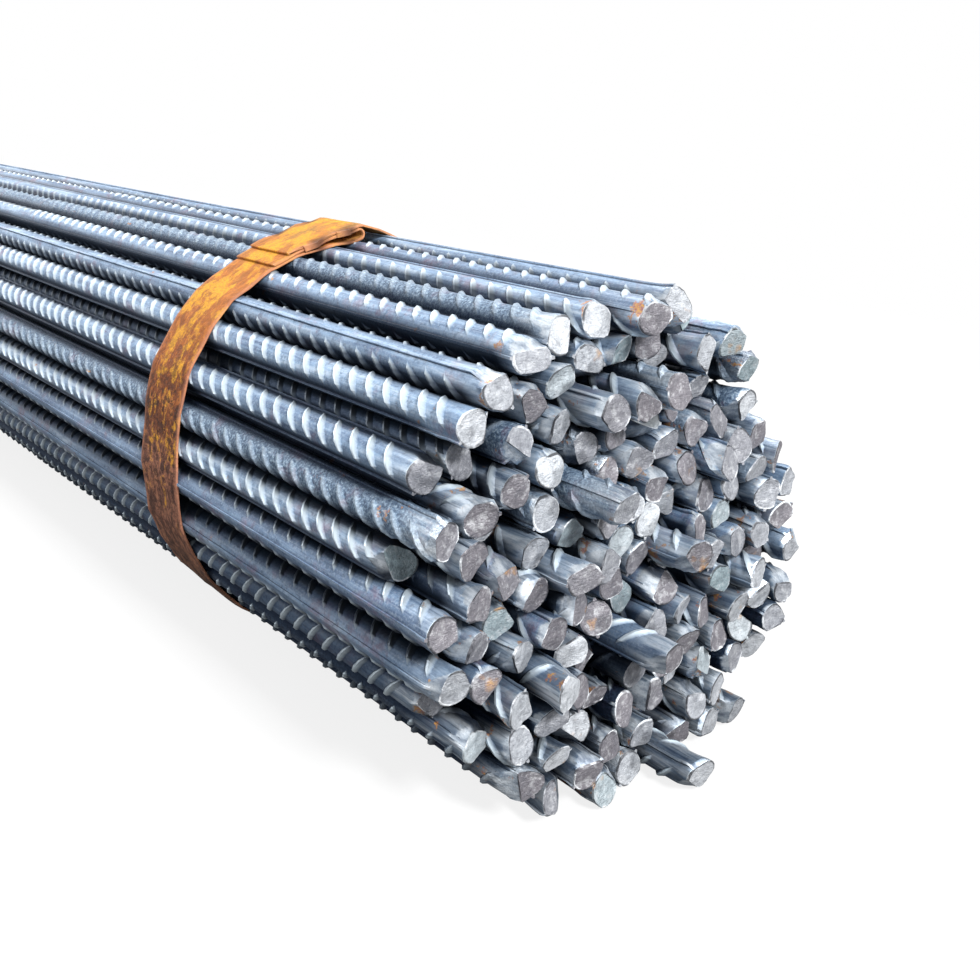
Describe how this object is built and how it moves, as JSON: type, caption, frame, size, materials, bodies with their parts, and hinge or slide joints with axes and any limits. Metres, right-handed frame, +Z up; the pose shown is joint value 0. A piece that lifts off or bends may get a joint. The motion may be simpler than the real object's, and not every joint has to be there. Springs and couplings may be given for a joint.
{
  "type": "rebar bundle",
  "caption": "Bundle of ribbed steel reinforcing bars in a stock length, held by rusty flat steel straps.",
  "frame": {"origin": "on the floor, under the middle of the bundle's bounding box", "axes": "+X along the bars, +Z up, +Y across the bundle to the left when looking along +X"},
  "size_m": [6.0818, 0.2256, 0.2202],
  "materials": {
    "mill_scale_steel": "hot-rolled ribbed steel with blue-grey mill scale, bright on the rib crowns, sheared grey ends",
    "rusty_strap": "flat steel strip with yellow-orange to brown rust"
  },
  "bodies": {
    "root": {"inner_bars_01": "mill_scale_steel", "inner_bars_02": "mill_scale_steel", "inner_bars_03": "mill_scale_steel", "inner_bars_04": "mill_scale_steel", "inner_bars_05": "mill_scale_steel", "inner_bars_06": "mill_scale_steel", "inner_bars_07": "mill_scale_steel", "inner_bars_08": "mill_scale_steel", "inner_bars_09": "mill_scale_steel", "inner_bars_10": "mill_scale_steel", "inner_bars_11": "mill_scale_steel", "inner_bars_12": "mill_scale_steel", "inner_bars_13": "mill_scale_steel", "outer_bar_01": "mill_scale_steel", "outer_bar_02": "mill_scale_steel", "outer_bar_03": "mill_scale_steel", "outer_bar_04": "mill_scale_steel", "outer_bar_05": "mill_scale_steel", "outer_bar_06": "mill_scale_steel", "outer_bar_07": "mill_scale_steel", "outer_bar_08": "mill_scale_steel", "outer_bar_09": "mill_scale_steel", "outer_bar_10": "mill_scale_steel", "outer_bar_11": "mill_scale_steel", "outer_bar_12": "mill_scale_steel", "outer_bar_13": "mill_scale_steel", "outer_bar_14": "mill_scale_steel", "outer_bar_15": "mill_scale_steel", "outer_bar_16": "mill_scale_steel", "outer_bar_17": "mill_scale_steel", "outer_bar_18": "mill_scale_steel", "outer_bar_19": "mill_scale_steel", "outer_bar_20": "mill_scale_steel", "outer_bar_21": "mill_scale_steel", "outer_bar_22": "mill_scale_steel", "outer_bar_23": "mill_scale_steel", "outer_bar_24": "mill_scale_steel", "outer_bar_25": "mill_scale_steel", "outer_bar_26": "mill_scale_steel", "outer_bar_27": "mill_scale_steel", "outer_bar_28": "mill_scale_steel", "outer_bar_29": "mill_scale_steel", "outer_bar_30": "mill_scale_steel", "outer_bar_31": "mill_scale_steel", "outer_bar_32": "mill_scale_steel", "outer_bar_33": "mill_scale_steel", "outer_bar_34": "mill_scale_steel", "outer_bar_35": "mill_scale_steel", "outer_bar_36": "mill_scale_steel", "strap_1": "rusty_strap", "strap_2": "rusty_strap", "strap_3": "rusty_strap", "strap_4": "rusty_strap"}
  },
  "joints": []
}
